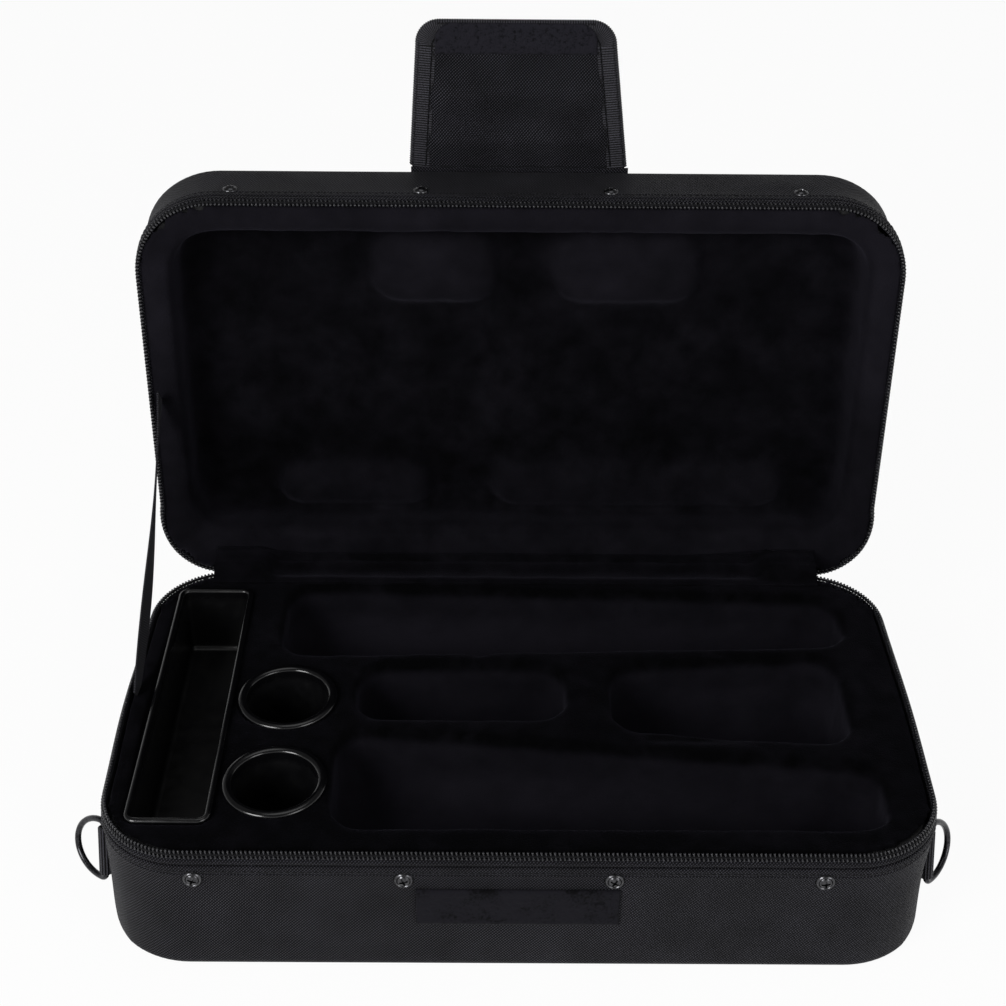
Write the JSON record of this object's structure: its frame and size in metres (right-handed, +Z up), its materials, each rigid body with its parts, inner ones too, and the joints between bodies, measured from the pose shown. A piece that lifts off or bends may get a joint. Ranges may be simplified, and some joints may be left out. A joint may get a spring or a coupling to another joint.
{
  "type": "clarinet case",
  "caption": "Soft-shell clarinet case with a padded base, hinged lid, coil zip, closing flap, strap rings and fitted wells.",
  "frame": {"origin": "centre of the base's flat underside", "axes": "+X to the right when facing the open case, +Y towards the hinge, +Z up; the front with the loop strip faces -Y"},
  "size_m": [0.4152, 0.3067, 0.3466],
  "materials": {
    "nylon": "black woven nylon twill, fine weave, matt",
    "webbing": "black ribbed webbing and zip tape, matt",
    "plush": "black short-pile plush with a faint blue sheen",
    "foam": "stiff grey foam sheet, hidden",
    "wood": "plain softwood strip, hidden",
    "moulded": "black moulded polystyrene, glossy",
    "zip": "black polyester coil, satin",
    "fastener": "black-oxide steel, satin",
    "ring_metal": "black plated steel wire and cast zinc, semi-gloss",
    "hook_and_loop": "black hook-and-loop tape, fuzzy",
    "board": "stiffening board, hidden"
  },
  "bodies": {
    "base": {"base_bottom_panel": "nylon", "base_side_cover": "nylon", "base_core": "foam", "base_front_rail": "wood", "base_zip_tape": "webbing", "base_zip_coil": "zip", "base_screw_1": "fastener", "base_washer_1": "fastener", "base_screw_2": "fastener", "base_washer_2": "fastener", "base_screw_3": "fastener", "base_washer_3": "fastener", "base_screw_4": "fastener", "base_washer_4": "fastener", "base_insert": "plush", "accessory_tray": "moulded", "rear_cup": "moulded", "front_cup": "moulded", "loop_patch": "hook_and_loop", "cloth_hinge": "nylon", "plush_hinge": "plush", "stay_strap": "webbing", "zip_slider_left": "ring_metal", "zip_slider_right": "ring_metal", "ring_tab_left": "webbing", "ring_tab_right": "webbing"},
    "lid": {"lid_top_panel": "nylon", "lid_side_cover": "nylon", "lid_core": "foam", "lid_front_rail": "wood", "lid_zip_tape": "webbing", "lid_zip_coil": "zip", "lid_screw_1": "fastener", "lid_washer_1": "fastener", "lid_screw_2": "fastener", "lid_washer_2": "fastener", "lid_screw_3": "fastener", "lid_washer_3": "fastener", "lid_screw_4": "fastener", "lid_washer_4": "fastener", "lid_lining": "plush", "flap_root": "nylon"},
    "flap": {"flap_inner_cloth": "nylon", "flap_board": "board", "flap_outer_cloth": "nylon", "flap_binding": "webbing", "hook_strip": "hook_and_loop", "handle_strap": "webbing", "handle_grip": "nylon"},
    "left_ring": {"strap_ring_left": "ring_metal"},
    "right_ring": {"strap_ring_right": "ring_metal"},
    "left_pull": {"zip_pull_left": "ring_metal"},
    "right_pull": {"zip_pull_right": "ring_metal"}
  },
  "joints": [
    {"name": "lid_hinge", "type": "hinge", "parent": "base", "child": "lid", "pos_m": [0, 0.107, 0.059], "axis": [-1, 0, 0], "range_deg": [-92, 0], "deforming": ["cloth_hinge", "plush_hinge", "stay_strap"]},
    {"name": "flap_hinge", "type": "hinge", "parent": "lid", "child": "flap", "pos_m": [0, 0.16353, 0.27366], "axis": [-1, 0, 0], "range_deg": [-90, 0]},
    {"name": "left_ring_swivel", "type": "hinge", "parent": "base", "child": "left_ring", "pos_m": [-0.1915, -0.064, 0.029], "axis": [0, 0.3746, 0.9272], "range_deg": [-44, 110]},
    {"name": "right_ring_swivel", "type": "hinge", "parent": "base", "child": "right_ring", "pos_m": [0.1915, -0.064, 0.029], "axis": [0, 0.3746, 0.9272], "range_deg": [-120, 34]},
    {"name": "left_pull_swing", "type": "hinge", "parent": "base", "child": "left_pull", "pos_m": [-0.1422, 0.1119, 0.0657], "axis": [1, 0, 0], "range_deg": [0, 25]},
    {"name": "right_pull_swing", "type": "hinge", "parent": "base", "child": "right_pull", "pos_m": [0.1422, 0.1119, 0.0657], "axis": [1, 0, 0], "range_deg": [0, 25]}
  ]
}
